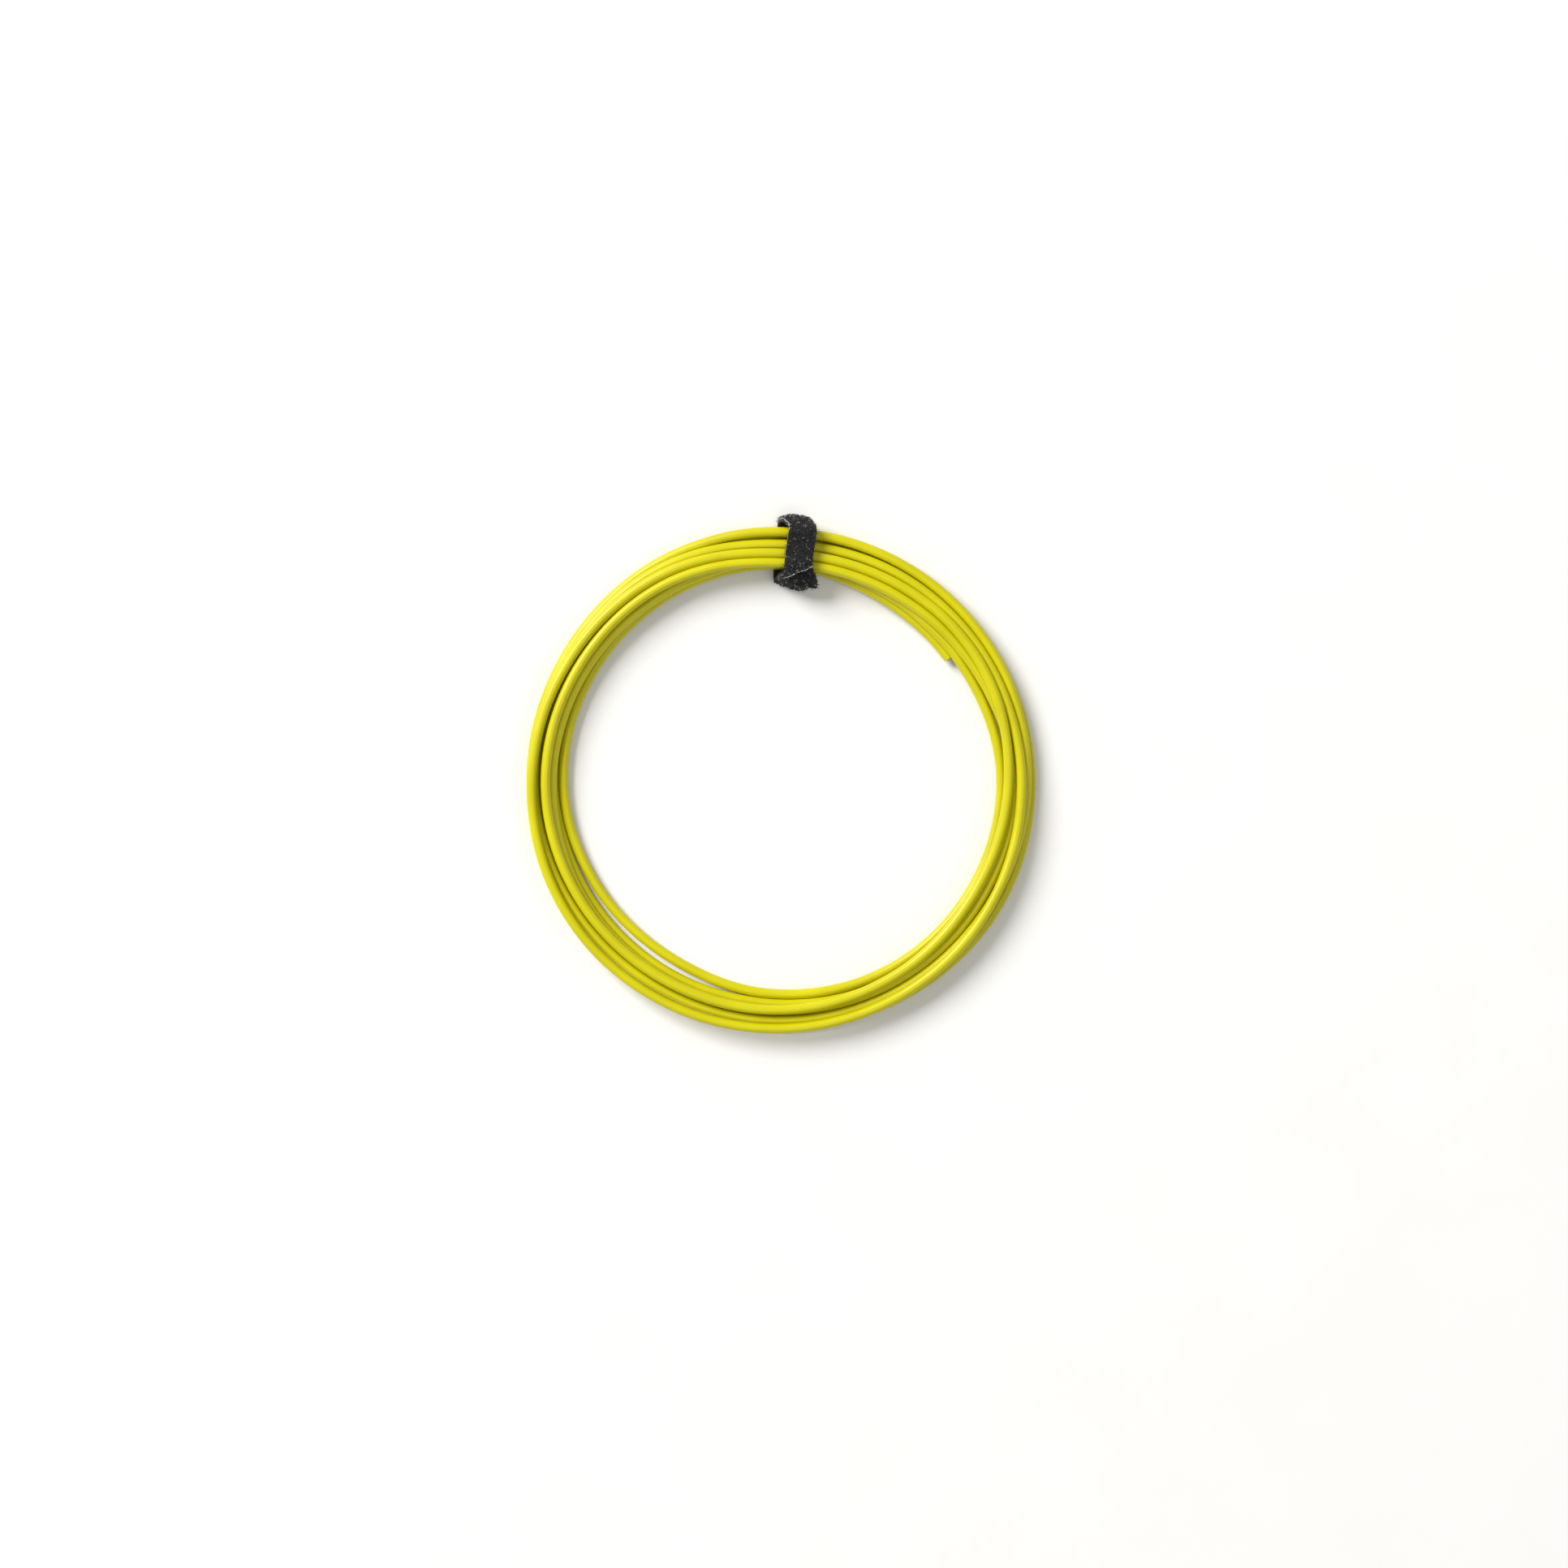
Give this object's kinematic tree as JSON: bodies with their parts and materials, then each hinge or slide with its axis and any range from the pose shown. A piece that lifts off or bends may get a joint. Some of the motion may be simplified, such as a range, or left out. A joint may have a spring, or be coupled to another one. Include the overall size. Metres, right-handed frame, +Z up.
{
  "type": "coated steel skipping-rope cable in a tied coil",
  "caption": "Yellow-green plastic-coated steel wire cable, wound into a flat round coil in two layers and held by a black hook-and-loop tie.",
  "frame": {"origin": "middle of the coil's eye, at the level of the surface that the coil lies on", "axes": "+Z up from that surface; +Y from the middle of the eye towards the tie; +X to the right, seen from above"},
  "size_m": [0.1304, 0.1316, 0.0117],
  "materials": {
    "jacket": "smooth satin-gloss yellow-green vinyl jacket",
    "wire": "bright galvanised steel strand",
    "hook_tape": "black moulded nylon micro hooks",
    "loop_pile": "black napped nylon loop pile"
  },
  "bodies": {
    "cable": {"cable_jacket": "jacket", "king_strand": "wire", "outer_strand_1": "wire", "outer_strand_2": "wire", "outer_strand_3": "wire", "outer_strand_4": "wire", "outer_strand_5": "wire", "outer_strand_6": "wire"},
    "tie": {"tie_hook_layer": "hook_tape", "tie_pile_layer": "loop_pile"},
    "tail": {"tail_hook_layer": "hook_tape", "tail_pile_layer": "loop_pile"}
  },
  "joints": [
    {"name": "tie_slide", "type": "hinge", "parent": "cable", "child": "tie", "pos_m": [0, 0, 0.00072], "axis": [0, -0.0113, 0.9999], "continuous": true},
    {"name": "tail_peel", "type": "hinge", "parent": "tie", "child": "tail", "pos_m": [0.00477, 0.06049, 0.01161], "axis": [-0.9969, 0.0785, 0.0009], "range_deg": [0, 150]}
  ]
}
